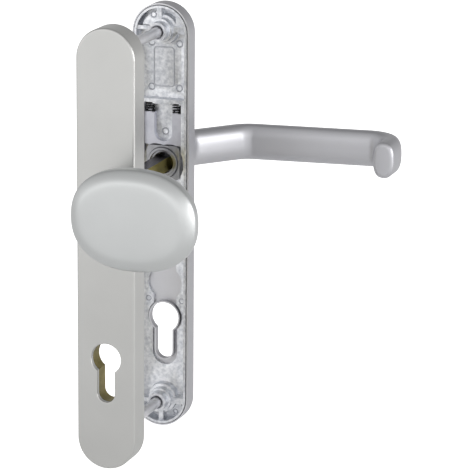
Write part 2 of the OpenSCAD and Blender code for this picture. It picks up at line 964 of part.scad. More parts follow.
morph_end_y = in_face_y + 0.55 * lever_neck;
neck_start = [0, lever_y];
lever_path = concat(
    [for (i = [0 : morph_rings]) [0, lever_y + i * (morph_end_y - lever_y) / morph_rings]],
    rounded_corner(neck_start, [0, bend_y], elbow, lever_bend_r, bend_rings),
    rounded_corner([0, bend_y], elbow, corner, grip_bend_r, bend_rings),
    rounded_corner(elbow, corner, tip, end_bend_r, bend_rings + 2),
    [for (a = [0, 30, 55, 75, 90]) tip + [0, end_round * (1 - sin(a))]]
);

// How far the section is drawn in at the rounded tip
function tip_inset(y) =
    let (left = min(y - tip[1], end_round))
    end_round - sqrt(end_round * end_round - pow(end_round - left, 2));

function lever_ring(i) =
    let (
        last = len(lever_path) - 1,
        here = lever_path[i],
        ahead = lever_path[min(i + 1, last)],
        behind = lever_path[max(i - 1, 0)],
        way = i >= last - 4 ? [0, -1] : i == 0 ? [0, 1] : unit(unit(ahead - here) + unit(here - behind)),
        side = [way[1], -way[0]],
        t = i <= morph_rings ? smooth(i / morph_rings) : 1,
        inset = i >= last - 4 ? tip_inset(here[1]) : 0,
        half_d = (neck_d + t * (grip_d - neck_d)) / 2 - inset,
        half_h = (neck_d + t * (grip_h - neck_d)) / 2 - inset
    )
    [
        for (k = [0 : lever_steps - 1])
            let (p = oval_point(360 * k / lever_steps, half_d, half_h, 2 + t * (lever_power - 2)))
                [here[0] + side[0] * p[0], here[1] + side[1] * p[0], p[1]]
    ];

module lever() {
    color("silver")
        difference() {
            loft([for (i = [0 : len(lever_path) - 1]) lever_ring(i)]);
            rod_y(hub_tube_d + 2 * run_fit, lever_y - 1, lever_y + socket_depth);
            translate([-square_hole / 2, lever_y - 1, -square_hole / 2])
                cube([square_hole, spindle_back_y - lever_y + 1.5, square_hole]);
            translate([0, grub_y, -neck_d])
                cylinder(d = grub_d, h = neck_d);
        }
}

outer_cover();
reinforcing_plate();
upper_post();
lower_post();
knob();
knob_screw();
knob_washer();
knob_pin();
inner_base();
inner_cover();
upper_screw();
lower_screw();
upper_washer();
lower_washer();
lever_bush();
left_spring();
right_spring();
lever();
spindle();
hub();
hub_clip();
grub_screw();
return_slide();
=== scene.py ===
"""Looks of a door furniture set: fixed cranked knob outside, lever handle inside.

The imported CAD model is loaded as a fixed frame. Each sub-assembly is a class that dresses its CAD
nodes with a finish or replaces them with a finer mesh. Lengths in the fields are millimetres.
"""

import logging
import math
from dataclasses import dataclass, field
from enum import Enum
from typing import Callable, Iterable, Sequence

import bmesh
import bpy
from mathutils import Matrix, Vector
from mathutils.bvhtree import BVHTree


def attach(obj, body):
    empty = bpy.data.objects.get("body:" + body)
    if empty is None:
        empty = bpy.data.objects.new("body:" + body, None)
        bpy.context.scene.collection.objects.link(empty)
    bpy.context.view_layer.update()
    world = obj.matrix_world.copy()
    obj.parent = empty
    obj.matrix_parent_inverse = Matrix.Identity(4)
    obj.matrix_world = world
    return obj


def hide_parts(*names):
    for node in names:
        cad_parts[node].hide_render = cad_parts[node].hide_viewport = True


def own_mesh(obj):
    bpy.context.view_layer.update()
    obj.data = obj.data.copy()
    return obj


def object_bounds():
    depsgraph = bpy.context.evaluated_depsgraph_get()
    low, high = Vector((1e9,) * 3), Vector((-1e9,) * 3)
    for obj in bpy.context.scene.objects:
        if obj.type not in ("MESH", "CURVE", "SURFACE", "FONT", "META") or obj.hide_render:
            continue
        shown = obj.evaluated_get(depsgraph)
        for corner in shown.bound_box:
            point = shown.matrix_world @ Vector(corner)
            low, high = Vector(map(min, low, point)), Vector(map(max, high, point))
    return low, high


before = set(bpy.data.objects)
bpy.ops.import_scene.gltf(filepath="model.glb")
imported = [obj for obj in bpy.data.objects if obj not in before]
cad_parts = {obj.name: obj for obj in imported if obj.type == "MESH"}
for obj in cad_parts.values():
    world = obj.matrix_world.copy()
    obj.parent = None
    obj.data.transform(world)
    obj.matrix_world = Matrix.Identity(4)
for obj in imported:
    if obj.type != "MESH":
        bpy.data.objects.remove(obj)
CAD_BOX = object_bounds()

log = logging.getLogger("door_set")
MM = 0.001
IMAGE_SIDE = 470
# Two points of a CAD mesh that lie closer than this are one point, in millimetres.
WELD = 0.002
# Faces that turn by less than this are one flat face, in degrees.
FLAT_DEG = 0.6
# How squarely a face looks one way before its painted light or shade starts, and when it is full.
PAINTED_SIDE_FROM, PAINTED_SIDE_FULL = 0.6, 0.8


class Axis(Enum):
    """The three axes of the model's frame."""

    X = Vector((1, 0, 0))
    Y = Vector((0, 1, 0))
    Z = Vector((0, 0, 1))


class Body(Enum):
    """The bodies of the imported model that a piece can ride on."""

    SET = "door_set"
    LEVER = "lever_unit"
    SLIDE = "slide"


class Slot(Enum):
    """The record's material slots."""

    ALUMINIUM = "satin_aluminium"
    CASTING = "zinc_casting"
    YELLOW = "yellow_steel"
    BRIGHT = "bright_steel"
    SPRING = "spring_steel"
    PLASTIC = "bearing_plastic"


# ------------------------------------------------------------------ colours and nodes


def linear(code: str) -> tuple[float, float, float, float]:
    """Turn an sRGB hex colour into the linear colour that a shader takes.

    Args:
        code: six hex digits.

    Returns:
        Red, green, blue and an alpha of 1.
    """
    parts = [int(code[i:i + 2], 16) / 255 for i in (0, 2, 4)]
    return (*(p / 12.92 if p <= 0.04045 else ((p + 0.055) / 1.055) ** 2.4 for p in parts), 1.0)


def add_node(tree: bpy.types.NodeTree, kind: str, settings: dict | None = None,
             inputs: dict | None = None) -> bpy.types.Node:
    """Add a node with its settings, and its inputs as values or as links.

    Args:
        tree: the material's or world's node tree.
        kind: the node's type name.
        settings: attributes to set on the node.
        inputs: for each socket name or number, a value or the output socket to link.

    Returns:
        The new node.
    """
    node = tree.nodes.new(kind)
    for name, value in (settings or {}).items():
        setattr(node, name, value)
    for name, value in (inputs or {}).items():
        if isinstance(value, bpy.types.NodeSocket):
            tree.links.new(value, node.inputs[name])
        else:
            node.inputs[name].default_value = value
    return node


def ramp(tree: bpy.types.NodeTree, factor: bpy.types.NodeSocket,
         stops: Sequence[tuple[float, str]]) -> bpy.types.NodeSocket:
    """Map a factor to colours.

    Args:
        tree: the node tree.
        factor: the value to map.
        stops: places from 0 to 1, each with a hex colour.

    Returns:
        The colour output.
    """
    node = add_node(tree, "ShaderNodeValToRGB", inputs={0: factor})
    elements = node.color_ramp.elements
    while len(elements) < len(stops):
        elements.new(0.5)
    for element, (place, code) in zip(elements, stops):
        element.position = place
        element.color = linear(code)
    return node.outputs["Color"]


@dataclass(frozen=True)
class Finish:
    """A metal or plastic surface with soft colour clouds, uneven gloss and a fine relief, and where asked
    painted light or shade on the faces that look one way.

    Attributes:
        name: the material's name.
        dark: hex colour of its darker clouds.
        light: hex colour of its lighter clouds.
        metallic: 1 for bare metal, 0 for plastic.
        roughness: least and most roughness.
        cloud_mm: size of the colour clouds.
        grain_mm: size of the fine relief.
        relief_mm: height of the fine relief.
        stretch: how the pattern is stretched along each axis.
        turned: hex colour of the faces that look one way, where it differs: painted light or shade on that
            side.
        way: the axis that they look along, and its sign.
    """

    name: str
    dark: str
    light: str
    metallic: float
    roughness: tuple[float, float]
    cloud_mm: float
    grain_mm: float
    relief_mm: float
    stretch: tuple[float, float, float] = (1.0, 1.0, 1.0)
    turned: str = ""
    way: tuple[str, float] = ("Z", 1.0)

    def material(self) -> bpy.types.Material:
        """Build the material."""
        made = bpy.data.materials.new(self.name)
        made.use_nodes = True
        tree = made.node_tree
        tree.nodes.clear()
        place = add_node(tree, "ShaderNodeTexCoord").outputs["Object"]
        scaled = add_node(tree, "ShaderNodeMapping", inputs={"Vector": place, "Scale": self.stretch})
        vector = scaled.outputs["Vector"]
        clouds = add_node(tree, "ShaderNodeTexNoise", inputs={
            "Vector": vector, "Scale": 1 / (self.cloud_mm * MM), "Detail": 3.0, "Roughness": 0.55})
        grain = add_node(tree, "ShaderNodeTexNoise", inputs={
            "Vector": vector, "Scale": 1 / (self.grain_mm * MM), "Detail": 2.0, "Roughness": 0.6})
        colour = ramp(tree, clouds.outputs["Fac"], [(0.3, self.dark), (0.7, self.light)])
        # Painted light or shade: the faces that look one way get another colour.
        if self.turned:
            painted_side_normal = add_node(tree, "ShaderNodeSeparateXYZ", inputs={
                0: add_node(tree, "ShaderNodeTexCoord").outputs["Normal"]}).outputs[self.way[0]]
            along = add_node(tree, "ShaderNodeMapRange", inputs={
                "Value": painted_side_normal, "From Min": PAINTED_SIDE_FROM * self.way[1],
                "From Max": PAINTED_SIDE_FULL * self.way[1]})
            colour = add_node(tree, "ShaderNodeMix", {"data_type": "RGBA"}, {
                0: along.outputs["Result"], 6: colour, 7: linear(self.turned)}).outputs[2]
        gloss = add_node(tree, "ShaderNodeMapRange", inputs={
            "Value": grain.outputs["Fac"], "From Min": 0.3, "From Max": 0.7,
            "To Min": self.roughness[0], "To Max": self.roughness[1]})
        bump = add_node(tree, "ShaderNodeBump", inputs={
            "Height": grain.outputs["Fac"], "Strength": 1.0, "Distance": self.relief_mm * MM})
        shader = add_node(tree, "ShaderNodeBsdfPrincipled", inputs={
            "Base Color": colour, "Metallic": self.metallic, "Roughness": gloss.outputs["Result"],
            "Normal": bump.outputs["Normal"]})
        add_node(tree, "ShaderNodeOutputMaterial", inputs={"Surface": shader.outputs["BSDF"]})
        return made


# Aluminium, bead-blasted and anodised natural silver: an even satin sheen, slightly warm, with no
# grain that the eye can follow. The blast pits are 0.05 mm, drawn at 0.4 mm so that they show at all.
SATIN = Finish("satin anodised aluminium", "C2C2C0", "C9C9C7", 1.0, (0.30, 0.35), 60, 0.4, 0.004)
# The inside plate and the lever: the same finish, a shade cooler and rougher. On the inside plate, the faces
# that look at the door are painted lighter: painted light on the cover's inside, seen in the pockets of the
# casting.
SATIN_COOL_PAINTED_LIGHT = Finish("cool satin aluminium, painted light inside", "B7B7BB", "BFBFC3", 1.0, (0.40, 0.46), 60, 0.4, 0.004,
                    (1, 1, 1), "DADADE", ("Y", -1.0))
SATIN_LEVER = Finish("cool satin lever", "B8B8BC", "C0C0C4", 1.0, (0.40, 0.46), 60, 0.4, 0.004)
# The knob is the same stock, with a slightly cooler and smoother blast.
SATIN_KNOB = Finish("satin anodised knob", "C5C7C7", "CBCDCD", 1.0, (0.38, 0.42), 50, 0.4, 0.003)
# Zinc alloy, pressure die-cast and left raw: bright, cool, with flow marks and a rippled skin.
CAST_ZINC = Finish("raw die-cast zinc", "C8CBD1", "F8F9FC", 1.0, (0.32, 0.52), 2.4, 0.9, 0.09)
# Die lines of the casting: its skin, dull, and painted darker: painted shade along the ejector rings and the
# panel's raised border.
CAST_LINE_SHADE = Finish("die lines of the casting, painted shade", "ACAEB4", "C4C6CC", 1.0, (0.36, 0.48), 3, 0.8, 0.02)
# The hub is turned from a zinc casting, greyer than the base; part of its dark tone is painted shade, for
# the dark gap round the hub in the casting.
HUB_ZINC_AND_SHADE = Finish("turned zinc hub, with painted shade", "9C9DA1", "B4B4B8", 1.0, (0.30, 0.42), 5, 0.8, 0.02)
# The slide is a tumbled casting, smoother than the base.
TUMBLED_ZINC = Finish("tumbled die-cast zinc", "C9CAD3", "D9DAE2", 1.0, (0.42, 0.52), 6, 1.0, 0.02)
# Steel with yellow passivated zinc plating: straw to olive, with a slight bloom.
YELLOW_STEEL = Finish("yellow passivated steel", "746A3C", "978B58", 1.0, (0.34, 0.46), 7, 0.8, 0.01)
# Drawn square bar, yellow plated, with the draw lines along it. Its top is painted near black: painted
# shade, for the top that lies dark in the hub's bore.
BAR_STEEL_PAINTED_SHADE = Finish("plated square bar, painted shade on top", "8A803F", "ADA058", 1.0, (0.26, 0.36), 8, 0.8, 0.01,
                   (1, 0.08, 1), "3A3539")
# Turned steel with bright zinc plating.
BRIGHT_STEEL = Finish("bright zinc plated steel", "DADADD", "E8E8EA", 1.0, (0.34, 0.44), 6, 0.6, 0.006)
# Spring wire, drawn and oil-blackened: near black with a dull shine.
BLACK_STEEL = Finish("oiled black spring wire", "1C1C1E", "323234", 0.8, (0.22, 0.34), 3, 0.5, 0.006)
# Bearing bush, moulded in black acetal.
ACETAL = Finish("moulded black acetal", "161617", "1E1E20", 0.0, (0.38, 0.48), 8, 0.5, 0.004)


# ------------------------------------------------------------------ meshes


def new_object(name: str, bm: bmesh.types.BMesh, sharp_deg: float = 35.0) -> bpy.types.Object:
    """Turn a bmesh into an object with smooth shading between its sharp edges.

    Args:
        name: the object's name.
        bm: the mesh, in metres and in the model's frame. It is freed.
        sharp_deg: edges that turn by more than this stay sharp.

    Returns:
        The object, linked to the scene.
    """
    mesh = bpy.data.meshes.new(name)
    for face in bm.faces:
        face.smooth = True
    bm.to_mesh(mesh)
    bm.free()
    mesh.set_sharp_from_angle(angle=math.radians(sharp_deg))
    obj = bpy.data.objects.new(name, mesh)
    bpy.context.scene.collection.objects.link(obj)
    return obj


def ring_sweep(rings: Sequence[Callable[[float], Vector]], sides: int) -> bmesh.types.BMesh:
    """Sweep a ring of points through a row of shapes.

    Args:
        rings: for each station, a function from the angle in radians to the point in metres.
        sides: number of points round each ring.

    Returns:
        A closed mesh with a flat cap at each end.
    """
    bm = bmesh.new()
    turn = bm.verts.layers.float.new("turn")
    bmesh.ops.create_circle(bm, segments=sides, radius=1.0)
    for vert in bm.verts:
        vert[turn] = math.atan2(vert.co.y, vert.co.x)
        vert.co = rings[0](vert[turn])
    edges = list(bm.edges)
    bmesh.ops.contextual_create(bm, geom=edges)
    for ring in rings[1:]:
        grown = bmesh.ops.extrude_edge_only(bm, edges=edges)["geom"]
        edges = [g for g in grown if isinstance(g, bmesh.types.BMEdge)]
        for vert in (g for g in grown if isinstance(g, bmesh.types.BMVert)):
            vert.co = ring(vert[turn])
    bmesh.ops.contextual_create(bm, geom=edges)
    bmesh.ops.recalc_face_normals(bm, faces=bm.faces)
    return bm


def rod(bm: bmesh.types.BMesh, radius: float, start: Vector, end: Vector, sides: int = 64) -> list:
    """Add a closed round bar between two points.

    Args:
        bm: the mesh to add to.
        radius: in millimetres.
        start: centre of one end, in millimetres.
        end: centre of the other end, in millimetres.
        sides: number of sides.

    Returns:
        The new vertices.
    """
    way = end - start
    turn = way.to_track_quat("Z", "Y").to_matrix().to_4x4()
    place = Matrix.Translation((start + end) / 2 * MM) @ turn
    return bmesh.ops.create_cone(
        bm, cap_ends=True, segments=sides, radius1=radius * MM, radius2=radius * MM,
        depth=way.length * MM, matrix=place)["verts"]


def oval(angle: float, half_w: float, half_h: float, power: float) -> tuple[float, float]:
    """A point of an oval whose sides are a little fuller than an ellipse's.

    Args:
        angle: in radians.
        half_w: half its width.
        half_h: half its height.
        power: 2 for an ellipse, more for fuller corners.

    Returns:
        The point's place across and up.
    """
    c, s = math.cos(angle), math.sin(angle)
    return (math.copysign(abs(c) ** (2 / power), c) * half_w,
            math.copysign(abs(s) ** (2 / power), s) * half_h)


def smooth(t: float) -> float:
    """Step softly from 0 to 1."""
    u = max(0.0, min(1.0, t))
    return u * u * (3 - 2 * u)


def carved(obj: bpy.types.Object, cutter: bpy.types.Object, sharp_deg: float = 35.0) -> None:
    """Cut one closed piece out of another, and remove the cutter.

    Args:
        obj: the piece that is cut.
        cutter: the piece that cuts.
        sharp_deg: edges that turn by more than this stay sharp.
    """
    cut = obj.modifiers.new("cut", "BOOLEAN")
    cut.operation = "DIFFERENCE"
    cut.solver = "EXACT"
    cut.object = cutter
    bpy.context.view_layer.update()
    shaped = bpy.data.meshes.new_from_object(obj.evaluated_get(bpy.context.evaluated_depsgraph_get()))
    obj.modifiers.remove(cut)
    obj.data = shaped
    shaped.set_sharp_from_angle(angle=math.radians(sharp_deg))
    bpy.data.objects.remove(cutter)


def sharp_edges(bm: bmesh.types.BMesh, least_deg: float) -> list[bmesh.types.BMEdge]:
    """The edges between two faces that turn by more than an angle, in degrees."""
    least = math.radians(least_deg)
    return [edge for edge in bm.edges if len(edge.link_faces) == 2 and edge.calc_face_angle() > least]


def softened_copy(node: str, radius_mm: float, joined: bool = True, segments: int = 2,
                  least_deg: float = 40.0) -> bpy.types.Object:
    """Copy a CAD node, merge its loose triangles and round its sharp edges.

    Args:
        node: name of the CAD node.
        radius_mm: radius of the rounding.
        joined: join the triangles of each flat face first. Left out for a face with many cut-outs,
            which shades unevenly as one face.
        segments: faces across the rounding.
        least_deg: edges that turn by more than this are rounded.

    Returns:
        The new object, which stands for the node.
    """
    bm = bmesh.new()
    bm.from_mesh(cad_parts[node].data)
    bmesh.ops.remove_doubles(bm, verts=bm.verts, dist=WELD * MM)
    if joined:
        bmesh.ops.dissolve_limit(
            bm, angle_limit=math.radians(FLAT_DEG), verts=bm.verts, edges=bm.edges, delimit=set())
    bmesh.ops.bevel(
        bm, geom=sharp_edges(bm, least_deg), offset=radius_mm * MM, offset_type="OFFSET",
        segments=segments, profile=0.5, affect="EDGES", clamp_overlap=True, material=-1)
    return new_object(node + "_dressed", bm, 20)


def dress(obj: bpy.types.Object, material: bpy.types.Material) -> None:
    """Give an object one material, in each slot that it has."""
    if not obj.material_slots:
        obj.data.materials.append(material)
    for place in obj.material_slots:
        place.material = material


def settle(obj: bpy.types.Object, material: bpy.types.Material, slot: Slot, body: Body,
           stands_for: Iterable[str] = ()) -> bpy.types.Object:
    """Finish a new piece: material, body and the nodes that it stands for.

    Args:
        obj: the piece.
        material: its finish.
        slot: the record's slot that the finish belongs to; not used.
        body: the body that carries it.
        stands_for: names of the CAD nodes that it replaces.

    Returns:
        The piece.
    """
    dress(obj, material)
    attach(obj, body.value)
    names = list(stands_for)
    if names:
        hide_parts(*names)
    log.info("%s rides on %s and stands for %s", obj.name, body.value, names)
    return obj


# ------------------------------------------------------------------ sub-assemblies


@dataclass
class Paint:
    """The finishes, each built once."""

    satin: bpy.types.Material = field(default_factory=SATIN.material)
    satin_cool_painted_light: bpy.types.Material = field(default_factory=SATIN_COOL_PAINTED_LIGHT.material)
    satin_lever: bpy.types.Material = field(default_factory=SATIN_LEVER.material)
    satin_knob: bpy.types.Material = field(default_factory=SATIN_KNOB.material)
    cast_zinc: bpy.types.Material = field(default_factory=CAST_ZINC.material)
    cast_line_shade: bpy.types.Material = field(default_factory=CAST_LINE_SHADE.material)
    hub_zinc_and_shade: bpy.types.Material = field(default_factory=HUB_ZINC_AND_SHADE.material)
    tumbled: bpy.types.Material = field(default_factory=TUMBLED_ZINC.material)
    yellow: bpy.types.Material = field(default_factory=YELLOW_STEEL.material)
    # The bar's top is painted near black: painted shade.
    bar: bpy.types.Material = field(default_factory=BAR_STEEL_PAINTED_SHADE.material)
    bright: bpy.types.Material = field(default_factory=BRIGHT_STEEL.material)
    black: bpy.types.Material = field(default_factory=BLACK_STEEL.material)
    acetal: bpy.types.Material = field(default_factory=ACETAL.material)

    def carried_over(self) -> None:
        """Dress the CAD nodes whose shape stays as it is."""
        for material, names in (
            (self.satin, ("outer_cover",)),
            (self.satin_cool_painted_light, ("inner_cover",)),
            (self.yellow, ("reinforcing_plate",)),
            (self.bar, ("spindle",)),
            (self.bright, ("upper_post", "lower_post", "knob_screw", "knob_washer", "knob_pin",
                           "upper_screw", "lower_screw", "upper_washer", "lower_washer")),
            (self.black, ("hub_clip", "grub_screw")),
            (self.acetal, ("lever_bush",)),
        ):
            for name in names:
                dress(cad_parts[name], material)


@dataclass
class Knob:
    """The fixed knob: a round foot, a neck that swells sideways, and an oval head.

    Attributes:
        face_y: the plate's face that the foot stands on.
        projection: from that face to the knob's front.
        crank: how far the head lies beside the foot's axis.
        width, height: of the head.
        rim_depth: how far the sloping rim lies behind the front.
        rim_width: how far the slope reaches in, before the nearly flat face.
        face_flattening: share of the face's inset that its height is spared, so that its rings close
            in both directions at once.
        side: depth of the head's straight side.
        rim: pairs of inset and depth, from the edge to the middle of the face.
        power: fullness of the head's oval.
        swell: how late the neck widens.
        foot_d, foot_h, foot_edge: the round foot, and the rounding of its edge.
        foot_shoulder: how far the neck starts inside the foot.
        spigot_d, spigot_end_y: the round spigot in the plate, and where it ends.
        sides, neck_rings: fineness of the mesh.
    """

    face_y: float = -14.5
    projection: float = 50.0
    crank: float = 33.6
    width: float = 70.4
    height: float = 55.0
    rim_depth: float = 6.0
    rim_width: float = 8.6
    face_flattening: float = 0.266
    side: float = 3.0
    rim: tuple[tuple[float, float], ...] = (
        (0.0, 6.0), (0.12, 5.35), (0.42, 4.72), (0.9, 4.1), (1.5, 3.48), (2.2, 2.84), (2.9, 2.25),
        (3.6, 1.72), (4.3, 1.26), (5.0, 0.88), (5.7, 0.6), (6.5, 0.39), (7.4, 0.26), (8.6, 0.19),
        (10.5, 0.14), (14.0, 0.09), (20.0, 0.04), (27.0, 0.01), (33.0, 0.0))
    power: float = 2.3
    swell: float = 1.15
    foot_d: float = 25.0
    foot_h: float = 4.0
    foot_edge: float = 0.5
    foot_shoulder: float = 1.5
    spigot_d: float = 16.0
    spigot_end_y: float = -8.63
    sides: int = 176
    neck_rings: int = 56

    def ring(self, y: float, x: float, half_w: float, half_h: float, power: float = 2.0) -> Callable:
        """One ring of the knob.

        Args:
            y: its depth.
            x: its centre.
            half_w: half its width.
            half_h: half its height.
            power: fullness of its oval.

        Returns:
            A function from the angle to the point in metres.
        """
        def point(angle: float) -> Vector:
            """Point of the ring in metres."""
            across, up = oval(angle, half_w, half_h, power)
            return Vector((x + across, y, up)) * MM
        return point

    def foot(self) -> list[Callable]:
        """Rings of the spigot in the plate and of the round foot on it."""
        r = self.foot_d / 2
        start = self.face_y - self.foot_h
        rows = [(self.spigot_end_y, self.spigot_d / 2), (self.face_y, self.spigot_d / 2),
                (self.face_y, r - self.foot_edge), (self.face_y - self.foot_edge, r),
                (start + self.foot_edge, r), (start + 0.15 * self.foot_edge, r - 0.4 * self.foot_edge),
                (start, r - self.foot_edge), (start, r - self.foot_shoulder)]
        return [self.ring(y, 0, radius, radius) for y, radius in rows]

    def neck(self) -> list[Callable]:
        """Rings from the foot to the head's widest section."""
        front = self.face_y - self.projection
        start = self.face_y - self.foot_h
        end = front + self.rim_depth + self.side
        foot_r = self.foot_d / 2 - self.foot_shoulder
        rings = []
        for i in range(1, self.neck_rings + 1):
            t = i / self.neck_rings
            swing = smooth(t)
            grown = swing ** self.swell
            rings.append(self.ring(
                start + t * (end - start), swing * self.crank,
                foot_r + grown * (self.width / 2 - foot_r), foot_r + grown * (self.height / 2 - foot_r),
                2 + grown * (self.power - 2)))
        return rings

    def head(self) -> list[Callable]:
        """Rings of the sloping rim and of the nearly flat face, from pairs of inset and depth."""
        front = self.face_y - self.projection
        rings = []
        for inset, depth in self.rim:
            face_inset = max(0.0, inset - self.rim_width)
            up_inset = inset - face_inset * self.face_flattening
            rings.append(self.ring(
                front + depth, self.crank, self.width / 2 - inset, self.height / 2 - up_inset, self.power))
        return rings

    def build(self, material: bpy.types.Material) -> None:
        """Make the knob."""
        rings = self.foot() + self.neck() + self.head()
        knob = new_object("knob_dressed", ring_sweep(rings, self.sides))
        settle(knob, material, Slot.ALUMINIUM, Body.SET, ["knob"])


@dataclass
class Lever:
    """The inside handle: round neck, slanted stretch, grip and an end returned to the door.

    Attributes:
        face_y: the inside plate's face.
        start_y: where the neck starts, clear of that face.
        neck: from the face to the first bend's corner.
        slant_x, slant_y: the slanted stretch, across and away from the door.
        reach: from the spindle's axis to the end's axis.
        rise: how far the grip still leads away from the door.
        returned: length of the end that is turned back to the door.
        grip_h, grip_d: height and depth of the grip's section.
        neck_d: diameter of the neck.
        bend_radii: of the centre line at the three bends.
        end_round: rounding of the free end.
        power: fullness of the grip's oval.
        socket_r, socket_depth: the neck's bore that the hub stands in.
        neck_edge: chamfer of the neck's end.
        morph_share: share of the neck in which the round section becomes the grip's.
        grub_r, grub_y: the hole of the grub screw, and its place along the neck.
        sides, morph_rings, bend_rings: fineness of the mesh.
    """

    face_y: float = 79.5
    start_y: float = 80.45
    neck: float = 33.5
    slant_x: float = 24.5
    slant_y: float = 30.0
    reach: float = 115.3
    rise: float = 10.5
    returned: float = 31.0
    grip_h: float = 21.0
    grip_d: float = 12.6
    neck_d: float = 21.0
    bend_radii: tuple[float, float, float] = (14.0, 16.0, 15.0)
    end_round: float = 2.4
    power: float = 2.6
    socket_r: float = 8.06
    socket_depth: float = 4.0
    neck_edge: float = 0.4
    morph_share: float = 0.55
    grub_r: float = 2.5
    grub_y: float = 91.45
    sides: int = 120
    morph_rings: int = 18
    bend_rings: int = 26

    def corners(self) -> list[Vector]:
        """The corners of the bar's centre line, in the plane of the bends."""
        bend = self.face_y + self.neck
        far = bend + self.slant_y + self.rise
        return [Vector((0, self.start_y)), Vector((0, bend)), Vector((self.slant_x, bend + self.slant_y)),
                Vector((self.reach, far)), Vector((self.reach, far - self.returned))]

    def bend(self, before: Vector, corner: Vector, after: Vector,
             radius: float) -> list[tuple[Vector, Vector]]:
        """Points and directions along the arc that rounds a corner.

        Args:
            before: the corner before it.
            corner: the rounded corner.
            after: the corner after it.
            radius: of the arc.

        Returns:
            Pairs of point and direction.
        """
        into = (corner - before).normalized()
        out = (after - corner).normalized()
        angle = into.angle_signed(out)
        start = corner - into * radius * math.tan(abs(angle) / 2)
        normal = Vector((-into.y, into.x)) * (-1 if angle > 0 else 1)
        centre = start + normal * radius
        pairs = []
        for i in range(self.bend_rings + 1):
            turned = Matrix.Rotation(-angle * i / self.bend_rings, 2)
            pairs.append((centre + turned @ (start - centre), turned @ into))
        return pairs

    def ring(self, point: Vector, way: Vector, grown: float, inset: float) -> Callable:
        """One ring of the bar.

        Args:
            point: its centre.
            way: the bar's direction there.
            grown: 0 for the neck's round section, 1 for the grip's.
            inset: how far the section is drawn in.

        Returns:
            A function from the angle to the point in metres.
        """
        half_d = (self.neck_d + grown * (self.grip_d - self.neck_d)) / 2 - inset
        half_h = (self.neck_d + grown * (self.grip_h - self.neck_d)) / 2 - inset

        def place(angle: float) -> Vector:
            """Point of the ring in metres."""
            across, up = oval(angle, half_d, half_h, 2 + grown * (self.power - 2))
            return Vector((point.x + way.y * across, point.y - way.x * across, up)) * MM
        return place

    def rings(self) -> list[Callable]:
        """All rings, from the bottom of the neck's socket to the returned end."""
        corners = self.corners()
        ahead = Vector((0, 1))
        socket_inset = self.neck_d / 2 - self.socket_r
        made = [self.ring(Vector((0, self.start_y + self.socket_depth)), ahead, 0, socket_inset),
                self.ring(corners[0], ahead, 0, socket_inset),
                self.ring(corners[0], ahead, 0, self.neck_edge)]
        morph = self.morph_share * self.neck - (self.start_y - self.face_y)
        for i in range(self.morph_rings + 1):
            t = i / self.morph_rings
            y = self.start_y + self.neck_edge + t * (morph - self.neck_edge)
            made.append(self.ring(Vector((0, y)), ahead, smooth(t), 0))
        for before, corner, after, radius in zip(corners, corners[1:], corners[2:], self.bend_radii):
            made += [self.ring(point, way, 1, 0) for point, way in self.bend(before, corner, after, radius)]
        back = (corners[-1] - corners[-2]).normalized()
        for degrees in (0, 12, 24, 36, 48, 60, 72, 82, 90):
            a = math.radians(degrees)
            spot = corners[-1] - back * self.end_round * (1 - math.sin(a))
            made.append(self.ring(spot, back, 1, self.end_round * (1 - math.cos(a))))
        return made

    def build(self, material: bpy.types.Material) -> None:
        """Make the lever with the hole of its grub screw."""
        lever = new_object("lever_dressed", ring_sweep(self.rings(), self.sides))
        bm = bmesh.new()
        rod(bm, self.grub_r, Vector((0, self.grub_y, -self.neck_d)), Vector((0, self.grub_y, 0)), 48)
        carved(lever, new_object("grub_hole", bm))
        settle(lever, material, Slot.ALUMINIUM, Body.LEVER, ["lever"])


